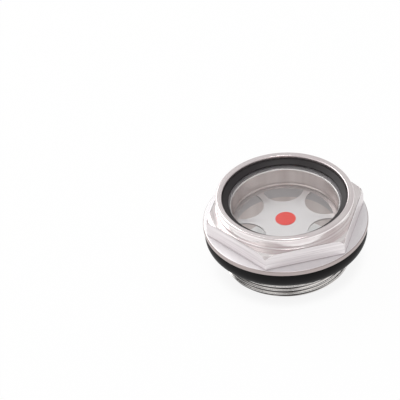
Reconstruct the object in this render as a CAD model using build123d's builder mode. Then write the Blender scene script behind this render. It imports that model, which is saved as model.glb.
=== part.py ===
"""Screw-in oil level gauge: a turned metal sight glass with a reflector behind its window.

The gauge stands on the end of its threaded spigot, with the thread's axis on Z and the
window on top. The origin is the centre of the spigot's end face.
"""

import os
from math import pi, sin, sqrt

from build123d import *

# Threaded spigot, M42 x 1.5, solid up to its major diameter
thread_diameter = 42.0
spigot_length = 14.4
spigot_wall = 3.6
thread_chamfer = 0.9
bore_chamfer = 0.6
relief_depth = 1.1
relief_shoulder = 0.2

# Rubber ring in the relief, under the flange
flange_seal_section = 5.9
flange_seal_slack = 0.8

# Flange
flange_overhang = 0.4
flange_thickness = 1.7
flange_edge_radius = 0.4

# Spanner hexagon, milled from a turned blank with a round top edge
hexagon_height = 5.8
hexagon_edge_radius = 1.9
corner_trim = 0.1
flat_land = 0.8

# Collar round the window, with a bead at its lip
collar_wall = 1.7
collar_height = 4.1
collar_foot_radius = 0.5
bead_overhang = 0.4
bead_height = 1.1
bead_radius = 0.45
bead_foot_radius = 0.25
lip_radius = 0.4

# Window: flat gasket on the bore's shoulder, glass, and a rubber ring snapped in above it
shoulder_width = 3.1
shoulder_chamfer = 0.3
gasket_setback = 0.15
gasket_thickness = 0.3
glass_thickness = 1.6
glass_clearance = 0.15
glass_bevel = 0.2
seal_face_width = 2.15
seal_outer_height = 1.1
seal_inner_height = 0.25
seal_crown = 0.12
seal_sink = 1.1
groove_depth = 0.35
groove_width = 0.5
groove_shoulder = 0.25

# Reflector: a drawn cup with windows round its hub, pressed up to a rib in the bore
reflector_drop = 6.6
reflector_height = 4.7
reflector_sheet = 0.5
reflector_bend_radius = 0.6
reflector_rim_width = 1.7
reflector_clocking = 17.0
hub_diameter = 17.7
spoke_width = 2.05
window_count = 6
rib_height = 0.8
rib_width = 0.4

# Red spot on the reflector's hub
spot_diameter = 6.7
spot_thickness = 0.15

# Radii, from the thread inwards and then outwards
thread_radius = thread_diameter / 2
relief_radius = thread_radius - relief_depth
bore_radius = thread_radius - spigot_wall
rib_radius = bore_radius - rib_width
recess_radius = bore_radius + shoulder_width
groove_radius = recess_radius + groove_depth
glass_radius = recess_radius - glass_clearance
gasket_inner_radius = bore_radius + shoulder_chamfer + gasket_setback
seal_inner_radius = recess_radius - seal_face_width
collar_radius = recess_radius + collar_wall
bead_outer_radius = collar_radius + bead_overhang
across_flats = 2 * (collar_radius + flat_land)
blank_radius = across_flats / sqrt(3) - corner_trim
flange_seal_inner_radius = relief_radius + flange_seal_slack
flange_radius = flange_seal_inner_radius + flange_seal_section + flange_overhang

# Heights above the spigot's end face
relief_foot = spigot_length - flange_seal_section - relief_shoulder
flange_top = spigot_length + flange_thickness
collar_foot = flange_top + hexagon_height
lip_top = collar_foot + collar_height
bead_foot = lip_top - bead_height
seal_top = lip_top - seal_sink
glass_top = seal_top - seal_outer_height
glass_bottom = glass_top - glass_thickness
seat_level = glass_bottom - gasket_thickness
groove_foot = glass_top + groove_shoulder
groove_top = groove_foot + groove_width
reflector_top = seat_level - reflector_drop
reflector_foot = reflector_top - reflector_height

# Windows of the reflector: equal circles that leave the hub and a narrow waist in each spoke
window_circle_radius = (hub_diameter - spoke_width) / (2 - 2 * sin(pi / window_count))
window_radius = window_circle_radius - hub_diameter / 2


def circles_at(shape, radius, height):
    """Round edges of a shape that lie at one radius and one height."""
    edges = shape.edges().filter_by(GeomType.CIRCLE)
    return edges.filter_by(
        lambda edge: abs(edge.radius - radius) < 1e-3
        and abs(edge.arc_center.Z - height) < 1e-3
    )


# Spanner hexagon: six flats milled on the turned blank, whose round edge is left at the corners
with BuildPart() as hexagon:
    with BuildSketch(Plane.XY.offset(flange_top)):
        Circle(blank_radius)
    extrude(amount=hexagon_height)
    fillet(circles_at(hexagon, blank_radius, collar_foot), hexagon_edge_radius)
    with BuildSketch(Plane.XY.offset(flange_top)):
        RegularPolygon(across_flats / 2, 6, major_radius=False)
    extrude(amount=hexagon_height, mode=Mode.INTERSECT)

# Body: spigot, flange, hexagon and collar turned and milled from one bar
with BuildPart() as body:
    with BuildSketch(Plane.XZ):
        with BuildLine():
            Polyline(
                (0, 0),
                (thread_radius - thread_chamfer, 0),
                (thread_radius, thread_chamfer),
                (thread_radius, relief_foot),
                (relief_radius, relief_foot + relief_depth),
                (relief_radius, spigot_length),
                (flange_radius, spigot_length),
                (flange_radius, flange_top),
                (0, flange_top),
                close=True,
            )
        make_face()
    revolve(axis=Axis.Z)
    fillet(circles_at(body, flange_radius, flange_top), flange_edge_radius)
    fillet(circles_at(body, flange_radius, spigot_length), flange_edge_radius)
    add(hexagon.part)

    # Collar and its bead
    with BuildSketch(Plane.XY.offset(flange_top)):
        Circle(collar_radius)
    extrude(amount=lip_top - flange_top)
    fillet(circles_at(body, collar_radius, collar_foot), collar_foot_radius)
    with BuildSketch(Plane.XY.offset(bead_foot)):
        Circle(bead_outer_radius)
    extrude(amount=bead_height)
    fillet(circles_at(body, bead_outer_radius, lip_top), bead_radius)
    fillet(circles_at(body, bead_outer_radius, bead_foot), bead_foot_radius)

    # Bore with the rib that stops the reflector, and the stepped recess of the window
    with BuildSketch(Plane.XZ):
        with BuildLine():
            Polyline(
                (0, 0),
                (bore_radius, 0),
                (bore_radius, reflector_top),
                (rib_radius, reflector_top),
                (rib_radius, reflector_top + rib_height - rib_width),
                (bore_radius, reflector_top + rib_height),
                (bore_radius, seat_level),
                (recess_radius, seat_level),
                (recess_radius, groove_foot),
                (groove_radius, groove_foot),
                (groove_radius, groove_top),
                (recess_radius, groove_top),
                (recess_radius, lip_top),
                (0, lip_top),
                close=True,
            )
        make_face()
    revolve(axis=Axis.Z, mode=Mode.SUBTRACT)
    chamfer(circles_at(body, bore_radius, 0), bore_chamfer)
    chamfer(circles_at(body, bore_radius, seat_level), shoulder_chamfer)
    fillet(circles_at(body, recess_radius, lip_top), lip_radius)
body.part.label = "body"

# Flat gasket between the bore's shoulder and the glass
with BuildPart() as glass_gasket:
    with BuildSketch(Plane.XY.offset(seat_level)):
        Circle(glass_radius)
        Circle(gasket_inner_radius, mode=Mode.SUBTRACT)
    extrude(amount=gasket_thickness)
glass_gasket.part.label = "glass_gasket"

# Round window glass with ground edges
with BuildPart() as window_glass:
    with BuildSketch(Plane.XY.offset(glass_bottom)):
        Circle(glass_radius)
    extrude(amount=glass_thickness)
    chamfer(window_glass.edges().filter_by(GeomType.CIRCLE), glass_bevel)
window_glass.part.label = "window_glass"

# Rubber ring that holds the glass: its face slopes inwards and its bead fills the groove
face_middle = (recess_radius + seal_inner_radius) / 2
face_level = glass_top + (seal_outer_height + seal_inner_height) / 2 + seal_crown
with BuildPart() as window_seal:
    with BuildSketch(Plane.XZ):
        with BuildLine():
            Polyline(
                (seal_inner_radius, glass_top + seal_inner_height),
                (seal_inner_radius, glass_top),
                (recess_radius, glass_top),
                (recess_radius, groove_foot),
                (groove_radius, groove_foot),
                (groove_radius, groove_top),
                (recess_radius, groove_top),
                (recess_radius, seal_top),
            )
            ThreePointArc(
                (recess_radius, seal_top),
                (face_middle, face_level),
                (seal_inner_radius, glass_top + seal_inner_height),
            )
        make_face()
    revolve(axis=Axis.Z)
window_seal.part.label = "window_seal"

# Reflector: a shallow cup drawn from sheet, with its windows punched through the floor
with BuildPart() as reflector:
    with BuildSketch(Plane.XY.offset(reflector_foot)):
        Circle(bore_radius)
    extrude(amount=reflector_height)
    fillet(circles_at(reflector, bore_radius, reflector_top), reflector_bend_radius)
    cup_mouth = reflector.faces().sort_by(Axis.Z)[0]
    offset(amount=-reflector_sheet, openings=cup_mouth)
    with BuildSketch(Plane.XY.offset(reflector_top)):
        with PolarLocations(window_circle_radius, window_count, reflector_clocking):
            Circle(window_radius)
        Circle(bore_radius - reflector_rim_width, mode=Mode.INTERSECT)
    extrude(amount=-reflector_sheet, mode=Mode.SUBTRACT)
reflector.part.label = "reflector"

# Red enamel spot, the target that the oil level is read against
with BuildPart() as red_spot:
    with BuildSketch(Plane.XY.offset(reflector_top)):
        Circle(spot_diameter / 2)
    extrude(amount=spot_thickness)
red_spot.part.label = "red_spot"

# Rubber ring that seals the flange against the tank wall
section_radius = flange_seal_section / 2
section_centre = (flange_seal_inner_radius + section_radius, spigot_length - section_radius)
with BuildPart() as flange_seal:
    with BuildSketch(Plane.XZ):
        with Locations(section_centre):
            Circle(section_radius)
    revolve(axis=Axis.Z)
flange_seal.part.label = "flange_seal"

os.makedirs("parts", exist_ok=True)
pieces = [body, glass_gasket, window_glass, window_seal, reflector, red_spot, flange_seal]
for piece in pieces:
    export_step(piece.part, f"parts/{piece.part.label}.step")
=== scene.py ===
from math import atan, atan2, cos, hypot, pi, radians, sin, sqrt

import bmesh
import bpy
from mathutils import Euler, Matrix, Vector


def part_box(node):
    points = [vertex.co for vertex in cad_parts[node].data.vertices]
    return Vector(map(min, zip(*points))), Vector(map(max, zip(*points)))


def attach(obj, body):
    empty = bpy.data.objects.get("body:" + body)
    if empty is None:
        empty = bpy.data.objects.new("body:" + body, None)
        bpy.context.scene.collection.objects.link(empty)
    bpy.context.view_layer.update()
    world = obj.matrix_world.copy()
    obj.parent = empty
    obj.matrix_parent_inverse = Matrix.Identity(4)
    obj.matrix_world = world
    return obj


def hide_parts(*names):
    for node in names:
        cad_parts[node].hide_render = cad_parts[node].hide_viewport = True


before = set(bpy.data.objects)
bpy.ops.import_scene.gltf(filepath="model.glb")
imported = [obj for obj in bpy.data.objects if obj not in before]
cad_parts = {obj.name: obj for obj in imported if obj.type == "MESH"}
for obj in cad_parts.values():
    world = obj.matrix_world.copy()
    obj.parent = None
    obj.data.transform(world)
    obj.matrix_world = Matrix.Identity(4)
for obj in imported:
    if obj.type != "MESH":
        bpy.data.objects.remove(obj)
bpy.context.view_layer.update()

# Body: spigot, flange, spanner hexagon and collar in one piece of aluminium. It is turned
# from bar, the six flats are milled, and the whole is polished. It stands on the spigot's
# end face, and every other piece sits in it or on it.
mm = 0.001
tolerance = 1e-4
turning_steps = 192

thread_radius = 21.0
thread_depth = 0.92
relief_radius = 19.9
relief_foot = 8.3
flange_radius = 27.0
flange_thickness = 1.7
flange_edge = 0.4
half_across_flats = 23.0
blank_radius = 26.46
blank_edge_radius = 1.9
milled_edge = 0.12
collar_radius = 22.2
collar_height = 4.1
collar_fillet = 0.45
bead_radius = 22.6
bead_height = 1.1
lip_outer_edge = 0.6
lip_inner_edge = 0.3
recess_radius = 20.5
groove_radius = 20.85
bore_radius = 17.4
mouth_chamfer = 0.6
shoulder_chamfer = 0.3
rib_radius = 17.0
rib_height = 0.8


def level(node, end):
    """Height in millimetres of a CAD node's lowest (0) or highest (1) point."""
    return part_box(node)[end].z / mm


lip_top = level("body", 1)
collar_foot = lip_top - collar_height
flange_foot = level("flange_seal", 1)
flange_top = flange_foot + flange_thickness
glass_top = level("window_glass", 1)
shoulder_level = level("glass_gasket", 0)
groove_foot = glass_top + 0.25
groove_top = glass_top + 0.75
reflector_top = level("red_spot", 0)
thread_root = thread_radius - thread_depth


def turned(outline):
    """Spins a closed outline of (radius, height, rounding) corners round the axis.

    An outline that starts and ends on the axis has no edge along it.
    """
    shape = bmesh.new()
    corners = [shape.verts.new((radius, 0, height)) for radius, height, _ in outline]
    for start, end in zip(corners, corners[1:] + corners[:1]):
        if start.co.x or end.co.x:
            shape.edges.new((start, end))
    for corner, (_, _, rounding) in zip(corners, outline):
        if rounding:
            bmesh.ops.bevel(
                shape, geom=[corner], offset=rounding, offset_type="OFFSET", segments=4,
                profile=0.5, affect="VERTICES", material=-1,
            )
    bmesh.ops.spin(
        shape, geom=shape.verts[:] + shape.edges[:], cent=(0, 0, 0), axis=(0, 0, 1),
        dvec=(0, 0, 0), angle=2 * pi, steps=turning_steps, use_merge=True,
    )
    bmesh.ops.remove_doubles(shape, verts=shape.verts[:], dist=tolerance)
    bmesh.ops.recalc_face_normals(shape, faces=shape.faces[:])
    return shape


def make_piece(name, shape, finishes, replaced=()):
    """Makes a piece of the gauge from a bmesh in millimetres."""
    bmesh.ops.scale(shape, vec=(mm, mm, mm), verts=shape.verts[:])
    mesh = bpy.data.meshes.new(name)
    for face in shape.faces:
        face.smooth = True
    shape.to_mesh(mesh)
    shape.free()
    for finish in finishes:
        mesh.materials.append(finish.material)
    mesh.set_sharp_from_angle(angle=radians(40))
    piece = bpy.data.objects.new(name, mesh)
    bpy.context.scene.collection.objects.link(piece)
    evened = piece.modifiers.new("evened_normals", "WEIGHTED_NORMAL")
    evened.keep_sharp = True
    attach(piece, "root")
    if replaced:
        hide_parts(*replaced)


land_start = 22.75
land_width = half_across_flats - land_start
land_steps = 12
land_rings = [
    (land_start + land_width * step / land_steps, collar_foot, 0)
    for step in range(land_steps, -1, -1)
]
body_outline = [
    (bore_radius + mouth_chamfer, 0, 0.06),
    (thread_root, 0, 0),
    (thread_root, relief_foot + thread_depth, 0),
    (relief_radius, relief_foot + thread_radius - relief_radius, 0),
    (relief_radius, flange_foot, 0.2),
    (flange_radius, flange_foot, flange_edge),
    (flange_radius, flange_top, flange_edge),
    (half_across_flats, flange_top, 0),
    *land_rings,
    (collar_radius, collar_foot, collar_fillet),
    (collar_radius, lip_top - bead_height, 0.15),
    (bead_radius, lip_top - bead_height, 0.2),
    (bead_radius, lip_top, lip_outer_edge),
    (recess_radius, lip_top, lip_inner_edge),
    (recess_radius, groove_top, 0),
    (groove_radius, groove_top, 0),
    (groove_radius, groove_foot, 0),
    (recess_radius, groove_foot, 0),
    (recess_radius, shoulder_level, 0.1),
    (bore_radius + shoulder_chamfer, shoulder_level, 0.04),
    (bore_radius, shoulder_level - shoulder_chamfer, 0.04),
    (bore_radius, reflector_top + rib_height, 0.08),
    (rib_radius, reflector_top + rib_height - (bore_radius - rib_radius), 0.12),
    (rib_radius, reflector_top, 0.06),
    (bore_radius, reflector_top, 0),
    (bore_radius, mouth_chamfer, 0.06),
]
body_shape = turned(body_outline)

# The mill moves the hexagon's walls out to its flats, under the blank's round top edge.
sector = pi / 3
nearly_whole = 0.999
mill_top, mill_foot, mill_corners = [], [], []
for vert in body_shape.verts:
    radius = hypot(vert.co.x, vert.co.y)
    on_hexagon = land_start - tolerance < radius < half_across_flats + tolerance
    if on_hexagon and vert.co.z > flange_top - tolerance:
        turn = atan2(vert.co.y, vert.co.x) % sector
        wall = half_across_flats / cos(turn - sector / 2)
        share = (radius - land_start) / land_width
        reach = land_start + (wall - land_start) * sin(share * pi / 2)
        vert.co.x *= reach / radius
        vert.co.y *= reach / radius
        if vert.co.z < flange_top + tolerance:
            mill_foot.append(vert)
        else:
            past_round = max(reach - (blank_radius - blank_edge_radius), 0)
            past_round = min(past_round, blank_edge_radius * nearly_whole)
            vert.co.z -= blank_edge_radius - sqrt(blank_edge_radius ** 2 - past_round ** 2)
            if share > nearly_whole:
                mill_top.append(vert)
        if share > nearly_whole and min(turn, sector - turn) < tolerance:
            mill_corners.append(vert)


def edges_among(shape, verts):
    """Edges of a shape whose two ends are both among some of its vertices."""
    chosen = set(verts)
    return [edge for edge in shape.edges if chosen.issuperset(edge.verts)]


top_edges = edges_among(body_shape, mill_top)
foot_edges = edges_among(body_shape, mill_foot)
corner_edges = [
    edge for edge in edges_among(body_shape, mill_corners)
    if edge not in top_edges and edge not in foot_edges
]
bmesh.ops.bevel(
    body_shape, geom=top_edges + corner_edges, offset=milled_edge, offset_type="OFFSET",
    segments=3, profile=0.5, affect="EDGES", material=-1,
)
bmesh.ops.recalc_face_normals(body_shape, faces=body_shape.faces[:])


class Signal:
    """An output of a node. Arithmetic on it adds Math nodes."""

    def __init__(self, finish, socket):
        self.finish, self.socket = finish, socket

    def math(self, operation, *values):
        inputs = dict(enumerate(values))
        return self.finish.add("ShaderNodeMath", {"operation": operation}, inputs, "Value")

    def __add__(self, other):
        return self.math("ADD", self, other)

    def __mul__(self, other):
        return self.math("MULTIPLY", self, other)

    def __sub__(self, other):
        return self.math("SUBTRACT", self, other)

    def __rsub__(self, other):
        return self.math("SUBTRACT", other, self)

    def __pow__(self, other):
        return self.math("POWER", self, other)

    __radd__, __rmul__ = __add__, __mul__


class Finish:
    """A surface finish: a material built from nodes, with a Principled shader at its end."""

    def __init__(self, name, **constants):
        self.material = bpy.data.materials.new(name)
        self.material.use_nodes = True
        self.nodes = self.material.node_tree.nodes
        self.nodes.clear()
        self.shader = self.nodes.new("ShaderNodeBsdfPrincipled")
        self.output = self.nodes.new("ShaderNodeOutputMaterial")
        self.link(self.shader.outputs[0], self.output.inputs["Surface"])
        for socket, value in constants.items():
            self.shader.inputs[socket.replace("_", " ")].default_value = value

    def link(self, source, target):
        self.material.node_tree.links.new(source, target)

    def add(self, kind, settings, inputs, output):
        """Adds a node, sets it, joins its inputs and returns one of its outputs."""
        node = self.nodes.new(kind)
        for name, value in settings.items():
            setattr(node, name, value)
        for name, value in inputs.items():
            self.set(node, name, value)
        return Signal(self, next(s for s in node.outputs if s.enabled and s.name == output))

    def set(self, node, name, value):
        """Gives an input, known by its name or number, a signal or a value."""
        if isinstance(name, int):
            socket = node.inputs[name]
        else:
            socket = next(s for s in node.inputs if s.enabled and s.name == name)
        if isinstance(value, Signal):
            self.link(value.socket, socket)
        else:
            socket.default_value = value

    def surface(self, **inputs):
        """Gives the shader's own sockets their varying maps or values."""
        for socket, value in inputs.items():
            self.set(self.shader, socket.replace("_", " "), value)

    def mix(self, share, other):
        """Lets another shader take a share of the surface."""
        own = Signal(self, self.shader.outputs[0])
        mixed = self.add("ShaderNodeMixShader", {}, {0: share, 1: own, 2: other}, "Shader")
        self.link(mixed.socket, self.output.inputs["Surface"])

    def place(self):
        """Object coordinates in metres."""
        return self.add("ShaderNodeTexCoord", {}, {}, "Object")

    def stretched(self, scale):
        """Object coordinates scaled apart, which draws a noise out into streaks."""
        return self.add(
            "ShaderNodeMapping", {}, {"Vector": self.place(), "Scale": scale}, "Vector",
        )

    def noise(self, where, scale, detail=2.0, roughness=0.5):
        """A cloudy pattern from 0 to 1."""
        return self.add(
            "ShaderNodeTexNoise", {},
            {"Vector": where, "Scale": scale, "Detail": detail, "Roughness": roughness}, "Fac",
        )

    def blend(self, factor, first, second):
        """Mixes two colours, given as (red, green, blue)."""
        return self.add(
            "ShaderNodeMix", {"data_type": "RGBA"},
            {"Factor": factor, "A": (*first, 1), "B": (*second, 1)}, "Result",
        )

    def bump(self, height, depth):
        """A normal for a relief of the given depth in metres."""
        return self.add("ShaderNodeBump", {}, {"Height": height, "Distance": depth}, "Normal")

    def from_axis(self):
        """Distance from the axis and height, in metres."""
        axes = self.add("ShaderNodeSeparateXYZ", {}, {"Vector": self.place()}, "X")
        x, y, z = (Signal(self, axes.socket.node.outputs[name]) for name in "XYZ")
        return (x * x + y * y) ** 0.5, z

    def rising(self, value, start, end):
        """Climbs smoothly from 0 to 1 as a value goes from start to end, in millimetres."""
        return self.add(
            "ShaderNodeMapRange", {"interpolation_type": "SMOOTHSTEP"},
            {"Value": value, "From Min": start * mm, "From Max": end * mm}, "Result",
        )

    def lathe_marks(self, pitch):
        """Fine rings round the axis, as a lathe tool leaves them, from 0 to 1."""
        radius, height = self.from_axis()
        section = self.add("ShaderNodeCombineXYZ", {}, {"X": radius, "Y": height}, "Vector")
        return self.noise(section, 1 / (pitch * mm), 3.0, 0.6)


turned_metal = Finish("turned_aluminium", Metallic=1.0)
marks = turned_metal.lathe_marks(0.35)
rings = turned_metal.lathe_marks(0.9)
stain = turned_metal.noise(turned_metal.place(), 90.0, 3.0)
turned_metal.surface(
    Base_Color=turned_metal.blend(
        rings * 2.2 + stain - 1.1, (0.76, 0.675, 0.685), (0.98, 0.955, 0.945),
    ),
    Roughness=marks * 0.22 + 0.1,
    Normal=turned_metal.bump(marks, 0.016 * mm),
)
# Milled flats: cutter lines along their length, and painted shade: the colour falls to its
# dark end along the flats' foot, in the crease against the flange.
milled_metal = Finish("milled_aluminium", Metallic=1.0)
cutter_lines = milled_metal.noise(milled_metal.stretched((40, 40, 3500)), 1.0, 3.0)
_, flat_height = milled_metal.from_axis()
clear_of_painted_foot_shade = milled_metal.rising(flat_height, flange_top, flange_top + 0.5)
milled_metal.surface(
    Base_Color=milled_metal.blend(
        cutter_lines * clear_of_painted_foot_shade * 1.5, (0.50, 0.455, 0.465), (0.97, 0.925, 0.935),
    ),
    Roughness=cutter_lines * 0.2 + 0.34,
    Normal=milled_metal.bump(cutter_lines, 0.02 * mm),
)
faced_metal = Finish("faced_aluminium", Metallic=1.0)
facing_rings = faced_metal.lathe_marks(0.25)
faced_metal.surface(
    Base_Color=faced_metal.blend(facing_rings, (0.90, 0.885, 0.90), (0.97, 0.965, 0.975)),
    Roughness=facing_rings * 0.12 + 0.40,
    Normal=faced_metal.bump(facing_rings, 0.01 * mm),
)
bored_metal = Finish("bored_aluminium", Metallic=1.0)
scoring = bored_metal.lathe_marks(0.22)
rubbed = bored_metal.noise(bored_metal.stretched((150, 150, 8)), 1.0, 3.0)
bored_metal.surface(
    Base_Color=bored_metal.blend(
        scoring * 0.5 + rubbed * 1.3 - 0.4, (0.52, 0.425, 0.41), (0.93, 0.855, 0.83),
    ),
    Roughness=scoring * 0.15 + 0.26,
    Normal=bored_metal.bump(scoring, 0.006 * mm),
)
# Flange rim: painted shade. Its outer wall is coloured a dark brown that stands in for the
# dark reflection along it, and fine lathe rings vary it a little.
rim_metal_painted_dark = Finish("rim_aluminium_painted_dark", Metallic=1.0)
rim_lathe_rings = rim_metal_painted_dark.lathe_marks(0.3)
rim_metal_painted_dark.surface(
    Base_Color=rim_metal_painted_dark.blend(rim_lathe_rings, (0.40, 0.34, 0.33), (0.54, 0.47, 0.46)),
    Roughness=rim_lathe_rings * 0.2 + 0.2,
)
body_metals = [turned_metal, bored_metal, milled_metal, faced_metal, rim_metal_painted_dark]
margin = 0.05
for face in body_shape.faces:
    middle = face.calc_center_median()
    distance = hypot(middle.x, middle.y)
    upright, facing_up = abs(face.normal.z) < 0.1, face.normal.z > 0.9
    if distance < bore_radius + margin and middle.z < shoulder_level:
        metal = bored_metal
    elif upright and flange_top < middle.z < collar_foot - margin:
        metal = milled_metal
    elif facing_up and abs(middle.z - flange_top) < margin:
        metal = faced_metal
    elif flange_foot < middle.z < flange_top and distance > flange_radius - 0.25:
        metal = rim_metal_painted_dark
    else:
        metal = turned_metal
    face.material_index = body_metals.index(metal)
make_piece("gauge_body", body_shape, body_metals, ["body"])

# Thread: a right-handed M42 x 1.5 on the spigot, cut with a single-point tool. Its ridge
# runs out in the chamfer of the end face and in the relief under the flange.
thread_pitch = 1.5
thread_chamfer = 0.9
thread_start = -0.9
thread_turns = 8
thread_steps = 144
ridge_foot = thread_pitch * 0.375
ridge_crest = thread_pitch / 16
under_root = thread_root - 0.1
ridge = bmesh.new()
ridge_corners = [
    ridge.verts.new((radius, 0, thread_start + height))
    for radius, height in (
        (under_root, -ridge_foot), (thread_root, -ridge_foot),
        (thread_radius, -ridge_crest), (thread_radius, ridge_crest),
        (thread_root, ridge_foot), (under_root, ridge_foot),
    )
]
for start, end in zip(ridge_corners, ridge_corners[1:] + ridge_corners[:1]):
    ridge.edges.new((start, end))
flanks = [
    edge for edge in ridge.edges
    if abs(edge.verts[0].co.x - edge.verts[1].co.x) > thread_depth / 2
]
bmesh.ops.subdivide_edges(ridge, edges=flanks, cuts=4)
bmesh.ops.spin(
    ridge, geom=ridge.verts[:] + ridge.edges[:], cent=(0, 0, 0), axis=(0, 0, 1),
    dvec=(0, 0, thread_pitch / thread_steps), angle=2 * pi * thread_turns,
    steps=thread_steps * thread_turns,
)
for height, side in ((0, "clear_inner"), (relief_foot + thread_depth, "clear_outer")):
    bmesh.ops.bisect_plane(
        ridge, geom=ridge.verts[:] + ridge.edges[:] + ridge.faces[:],
        plane_co=(0, 0, height), plane_no=(0, 0, 1), **{side: True},
    )
bmesh.ops.holes_fill(ridge, edges=[edge for edge in ridge.edges if edge.is_boundary])
for vert in ridge.verts:
    radius = hypot(vert.co.x, vert.co.y)
    above_face, above_relief_foot = vert.co.z, vert.co.z - relief_foot
    allowed = thread_radius - max(thread_chamfer - above_face, above_relief_foot)
    if radius > allowed:
        vert.co.x *= allowed / radius
        vert.co.y *= allowed / radius
bmesh.ops.recalc_face_normals(ridge, faces=ridge.faces[:])
# Painted shade on the thread: its roots and flanks are coloured dark for the shade and dark
# reflection under the flange seal, and the bright metal colour shows only near the crests.
# Broad patches make that painted shade deeper in places.
cut_metal = Finish("thread_aluminium", Metallic=1.0)
thread_distance, _ = cut_metal.from_axis()
crest_clear_of_painted_shade = cut_metal.rising(thread_distance, thread_root + 0.15, thread_radius - 0.2)
chatter = cut_metal.noise(cut_metal.place(), 420.0, 3.0)
painted_shade_patches = cut_metal.noise(cut_metal.place(), 70.0, 1.0)
cut_metal.surface(
    Base_Color=cut_metal.blend(
        crest_clear_of_painted_shade + painted_shade_patches * 2.4 - 1.1, (0.20, 0.19, 0.185), (0.95, 0.93, 0.915),
    ),
    Roughness=chatter * 0.2 + 0.12,
)
make_piece("spigot_thread", ridge, [cut_metal])

# Gasket: a flat ring of grey sealing rubber, punched from sheet. It lies on the bore's
# shoulder, under the glass.
gasket_inner_radius = bore_radius + 0.45
gasket_outer_radius = recess_radius - 0.15
gasket_thickness = 0.3
gasket_edge = 0.05
gasket_rubber = Finish("gasket_rubber", Roughness=0.6)
speck = gasket_rubber.noise(gasket_rubber.place(), 4000.0)
gasket_rubber.surface(
    Base_Color=gasket_rubber.blend(speck, (0.25, 0.23, 0.245), (0.36, 0.335, 0.35)),
)
make_piece(
    "glass_gasket_ring",
    turned([
        (gasket_inner_radius, shoulder_level, gasket_edge),
        (gasket_outer_radius, shoulder_level, gasket_edge),
        (gasket_outer_radius, shoulder_level + gasket_thickness, gasket_edge),
        (gasket_inner_radius, shoulder_level + gasket_thickness, gasket_edge),
    ]),
    [gasket_rubber], ["glass_gasket"],
)

# Reflector: a shallow cup drawn from bright sheet, with six windows punched round its hub.
# It is pressed up the bore from below, until its rim meets the stop rib.
reflector_foot = level("reflector", 0)
sheet = 0.5
bend_radius = 0.6
rim_radius = 15.7
hub_radius = 8.85
spoke_width = 2.05
punch_steps = 96
punch_length = 4
die_length = 3
window_count = 6
window_clocking = radians(17.0)
window_circle = (hub_radius - spoke_width / 2) / (1 - sin(pi / window_count))
window_radius = window_circle - hub_radius
weld_distance = 2e-3


def booled(shape, operation, tool):
    """Cuts or intersects a bmesh in millimetres with another one."""
    blanks = []
    for source in (shape, tool):
        mesh = bpy.data.meshes.new("blank")
        source.to_mesh(mesh)
        source.free()
        blank = bpy.data.objects.new("blank", mesh)
        bpy.context.scene.collection.objects.link(blank)
        blanks.append(blank)
    cut = blanks[0].modifiers.new("cut", "BOOLEAN")
    cut.operation, cut.solver, cut.object = operation, "EXACT", blanks[1]
    bpy.context.view_layer.update()
    result = bmesh.new()
    result.from_object(blanks[0], bpy.context.evaluated_depsgraph_get())
    for blank in blanks:
        mesh = blank.data
        bpy.data.objects.remove(blank)
        bpy.data.meshes.remove(mesh)
    bmesh.ops.remove_doubles(result, verts=result.verts[:], dist=weld_distance)
    bmesh.ops.dissolve_degenerate(result, edges=result.edges[:], dist=weld_distance)
    bmesh.ops.recalc_face_normals(result, faces=result.faces[:])
    return result


cup = turned([
    (0, reflector_top - sheet, 0),
    (bore_radius - sheet, reflector_top - sheet, 0.1),
    (bore_radius - sheet, reflector_foot, 0.08),
    (bore_radius, reflector_foot, 0.08),
    (bore_radius, reflector_top, bend_radius),
    (0, reflector_top, 0),
])
punches = bmesh.new()
for window in range(window_count):
    angle = window_clocking + 2 * pi * window / window_count
    centre = (window_circle * cos(angle), window_circle * sin(angle), reflector_top)
    bmesh.ops.create_cone(
        punches, cap_ends=True, segments=punch_steps, radius1=window_radius,
        radius2=window_radius, depth=punch_length, matrix=Matrix.Translation(centre),
    )
die = bmesh.new()
bmesh.ops.create_cone(
    die, cap_ends=True, segments=turning_steps, radius1=rim_radius, radius2=rim_radius,
    depth=die_length, matrix=Matrix.Translation((0, 0, reflector_top)),
)
reflector_shape = booled(cup, "DIFFERENCE", booled(punches, "INTERSECT", die))
satin_sheet = Finish("satin_sheet", Metallic=1.0)
grain = satin_sheet.noise(satin_sheet.place(), 2500.0, 3.0)
sheet_distance, _ = satin_sheet.from_axis()
# Painted shade: the sheet darkens towards its rim, where it meets the stop rib and the bore
# wall.
painted_rim_shade = satin_sheet.rising(sheet_distance, rim_radius - 0.6, rim_radius + 0.5)
satin_sheet.surface(
    Base_Color=satin_sheet.blend(
        grain * 0.25 + painted_rim_shade * 0.75, (0.80, 0.78, 0.79), (0.52, 0.48, 0.485),
    ),
    Roughness=grain * 0.12 + 0.38,
    Normal=satin_sheet.bump(grain, 0.004 * mm),
)
# The cup's underside, inner skirt and punched window edges get a duller and darker sheet. The
# higher roughness is the sheet's own, and the darker colour is painted shade inside the cup.
dull_sheet_painted_shade = Finish("dull_sheet_painted_shade", Metallic=1.0)
drawing_marks = dull_sheet_painted_shade.noise(dull_sheet_painted_shade.place(), 1200.0, 3.0)
dull_sheet_painted_shade.surface(
    Base_Color=dull_sheet_painted_shade.blend(drawing_marks, (0.56, 0.53, 0.54), (0.66, 0.63, 0.635)),
    Roughness=drawing_marks * 0.15 + 0.42,
)
dull_foot, dull_top = reflector_foot + 0.35, reflector_top - 0.01
dull_radius = bore_radius - 0.1
for face in reflector_shape.faces:
    middle = face.calc_center_median()
    inside = hypot(middle.x, middle.y) < dull_radius
    if inside and dull_foot < middle.z < dull_top:
        face.material_index = 1
make_piece(
    "reflector_cup", reflector_shape, [satin_sheet, dull_sheet_painted_shade],
    ["reflector"],
)

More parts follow.
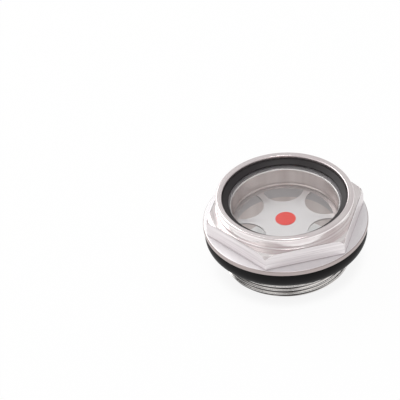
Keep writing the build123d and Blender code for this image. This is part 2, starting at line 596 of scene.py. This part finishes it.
# Red spot: the mark that the oil level is read against. It is a drop of red enamel, baked
# on the middle of the reflector's hub.
spot_radius = 3.35
spot_top = level("red_spot", 1)
enamel = Finish("red_enamel", Roughness=0.4, Specular_IOR_Level=0.3)
cloud = enamel.noise(enamel.place(), 900.0)
enamel.surface(Base_Color=enamel.blend(cloud, (0.86, 0.040, 0.028), (0.94, 0.062, 0.042)))
make_piece(
    "red_enamel_spot",
    turned([
        (0, reflector_top, 0), (spot_radius, reflector_top, 0),
        (spot_radius, spot_top, 0.1), (0, spot_top, 0),
    ]),
    [enamel], ["red_spot"],
)

# Window glass: a flat disc of clear glass with ground edges. It lies on its gasket, and
# the oil stands against its underside.
glass_bottom = level("window_glass", 0)
glass_radius = recess_radius - 0.15
glass_bevel = 0.2
clear_glass = Finish("clear_glass", Transmission_Weight=1.0, IOR=1.5)
smear = clear_glass.noise(clear_glass.place(), 60.0, 3.0)
clear_glass.surface(Roughness=smear * 0.01, Base_Color=(0.97, 0.98, 0.975, 1))
through = clear_glass.add("ShaderNodeBsdfTransparent", {}, {}, "BSDF")
shadow_ray = clear_glass.add("ShaderNodeLightPath", {}, {}, "Is Shadow Ray")
clear_glass.mix(shadow_ray, through)
make_piece(
    "sight_window",
    turned([
        (0, glass_bottom, 0), (glass_radius - glass_bevel, glass_bottom, 0),
        (glass_radius, glass_bottom + glass_bevel, 0),
        (glass_radius, glass_top - glass_bevel, 0),
        (glass_radius - glass_bevel, glass_top, 0), (0, glass_top, 0),
    ]),
    [clear_glass], ["window_glass"],
)

# Window seal: a moulded ring of black rubber. It is snapped over the glass, with a small
# bead in the collar's groove that holds it down.
seal_inner_radius = 18.35
seal_top = level("window_seal", 1)
moulded_rubber = Finish("moulded_rubber", Specular_IOR_Level=0.35)
bloom = moulded_rubber.noise(moulded_rubber.place(), 350.0, 3.0)
pores = moulded_rubber.noise(moulded_rubber.place(), 5000.0)
moulded_rubber.surface(
    Base_Color=moulded_rubber.blend(bloom, (0.012, 0.0095, 0.0105), (0.028, 0.023, 0.025)),
    Roughness=bloom * 0.2 + 0.34,
    Normal=moulded_rubber.bump(pores, 0.004 * mm),
)
make_piece(
    "window_seal_ring",
    turned([
        (seal_inner_radius, glass_top, 0),
        (recess_radius, glass_top, 0),
        (recess_radius, groove_foot, 0),
        (groove_radius, groove_foot, 0),
        (groove_radius, groove_top, 0),
        (recess_radius, groove_top, 0),
        (recess_radius - 0.12, seal_top, 0.08),
        (recess_radius - 0.55, seal_top - 0.02, 0.3),
        (seal_inner_radius, glass_top + 0.3, 0.15),
    ]),
    [moulded_rubber], ["window_seal"],
)

# Flange seal: a black rubber ring of round section, moulded in one. It lies in the relief
# under the flange, which squeezes it against the tank's wall.
flange_seal_low, flange_seal_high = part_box("flange_seal")
section_radius = (flange_seal_high.z - flange_seal_low.z) / 2 / mm
ring_radius = flange_seal_high.x / mm - section_radius
ring = bmesh.new()
bmesh.ops.create_circle(ring, segments=48, radius=section_radius, cap_ends=False)
bmesh.ops.rotate(
    ring, verts=ring.verts[:], cent=(0, 0, 0), matrix=Matrix.Rotation(pi / 2, 3, "X"),
)
bmesh.ops.translate(
    ring, verts=ring.verts[:], vec=(ring_radius, 0, flange_foot - section_radius)
)
bmesh.ops.spin(
    ring, geom=ring.verts[:] + ring.edges[:], cent=(0, 0, 0), axis=(0, 0, 1),
    dvec=(0, 0, 0), angle=2 * pi, steps=turning_steps, use_merge=True,
)
bmesh.ops.recalc_face_normals(ring, faces=ring.faces[:])
ring_rubber = Finish("ring_rubber", Specular_IOR_Level=0.2)
dust = ring_rubber.noise(ring_rubber.place(), 500.0, 3.0)
ring_rubber.surface(
    Base_Color=ring_rubber.blend(dust, (0.003, 0.0025, 0.003), (0.010, 0.009, 0.0095)),
    Roughness=dust * 0.15 + 0.4,
)
make_piece("flange_seal_ring", ring, [ring_rubber], ["flange_seal"])

# Table: a plain white sheet of paper under the gauge. It takes the gauge's shadow, and it
# glows for the camera and in reflections, so that it stays white away from the gauge. Less
# glow inside the spigot and in a narrow ring round it is painted shadow.
table_half_width = 20.0
table_mesh = bpy.data.meshes.new("table")
table_shape = bmesh.new()
bmesh.ops.create_grid(table_shape, x_segments=1, y_segments=1, size=table_half_width)
table_shape.to_mesh(table_mesh)
table_shape.free()
table = bpy.data.objects.new("table", table_mesh)
bpy.context.scene.collection.objects.link(table)
paper = Finish("white_paper", Roughness=0.9)
paper.surface(Base_Color=(0.92, 0.92, 0.92, 1))
seen = paper.add("ShaderNodeLightPath", {}, {}, "Is Camera Ray")
paths = seen.socket.node.outputs
for kind in ("Is Glossy Ray", "Is Transmission Ray"):
    seen = seen.math("MAXIMUM", seen, Signal(paper, paths[kind]))
glow = paper.add(
    "ShaderNodeEmission", {}, {"Color": (1, 1, 1, 1), "Strength": 1.0}, "Emission",
)
table_distance, _ = paper.from_axis()
# Painted shadow: the glow drops inside the spigot's footprint and in a narrow ring round it.
glow_share_with_painted_shadow = (
    paper.rising(table_distance, 16.5, thread_radius) * 0.44
    + paper.rising(table_distance, 21.5, 27.0) * 0.12 + 0.4
)
paper.mix(seen * glow_share_with_painted_shadow, glow)
table_mesh.materials.append(paper.material)

# Studio: a plain pale room with three soft square lamps. The large one stands behind the
# gauge, a weak one to its left, and the small one hangs over it.
room = bpy.data.worlds.new("pale_room")
room.use_nodes = True
room_light = room.node_tree.nodes["Background"].inputs
room_light["Strength"].default_value = 0.64
room_light["Color"].default_value = (1, 0.98, 0.98, 1)
bpy.context.scene.world = room


def soft_lamp(name, place, size, power):
    """A square area lamp, aimed at the gauge."""
    light = bpy.data.lights.new(name, "AREA")
    light.size, light.energy = size, power
    lamp = bpy.data.objects.new(name, light)
    lamp.location = place
    lamp.rotation_euler = (-Vector(place)).to_track_quat("-Z", "Y").to_euler()
    bpy.context.scene.collection.objects.link(lamp)


soft_lamp("back_lamp", (-0.33, 0.68, 0.62), 0.7, 3.4)
soft_lamp("side_lamp", (-0.8, -0.25, 0.35), 0.6, 0.7)
soft_lamp("top_lamp", (0.03, -0.1, 0.92), 0.24, 1.0)

# Camera: a long lens that looks down on the gauge from the front and a little from its left.
# It is aimed to the left of the gauge and above it, so the gauge stands low and to the right.
camera_azimuth = radians(-14.4)
camera_elevation = radians(39.8)
camera_distance = 1.143
camera_roll = radians(-2.54)
beside_middle = 28.0 * mm
below_middle = 7.4 * mm
back = Vector((
    sin(camera_azimuth) * cos(camera_elevation),
    -cos(camera_azimuth) * cos(camera_elevation),
    sin(camera_elevation),
))
lens = bpy.data.cameras.new("camera")
lens.sensor_width = 36.0
lens.lens = 315.0
lens.clip_start, lens.clip_end = 0.01, 3 * table_half_width
camera = bpy.data.objects.new("camera", lens)
camera.location = Vector((0, 0, flange_foot * mm)) + back * camera_distance
aside = Euler((atan(below_middle / camera_distance), atan(beside_middle / camera_distance), 0))
camera.rotation_mode = "QUATERNION"
camera.rotation_quaternion = (
    (-back).to_track_quat("-Z", "Y") @ Euler((0, 0, camera_roll)).to_quaternion()
    @ aside.to_quaternion()
)
bpy.context.scene.collection.objects.link(camera)
bpy.context.scene.camera = camera
bpy.context.scene.view_settings.view_transform = "Standard"
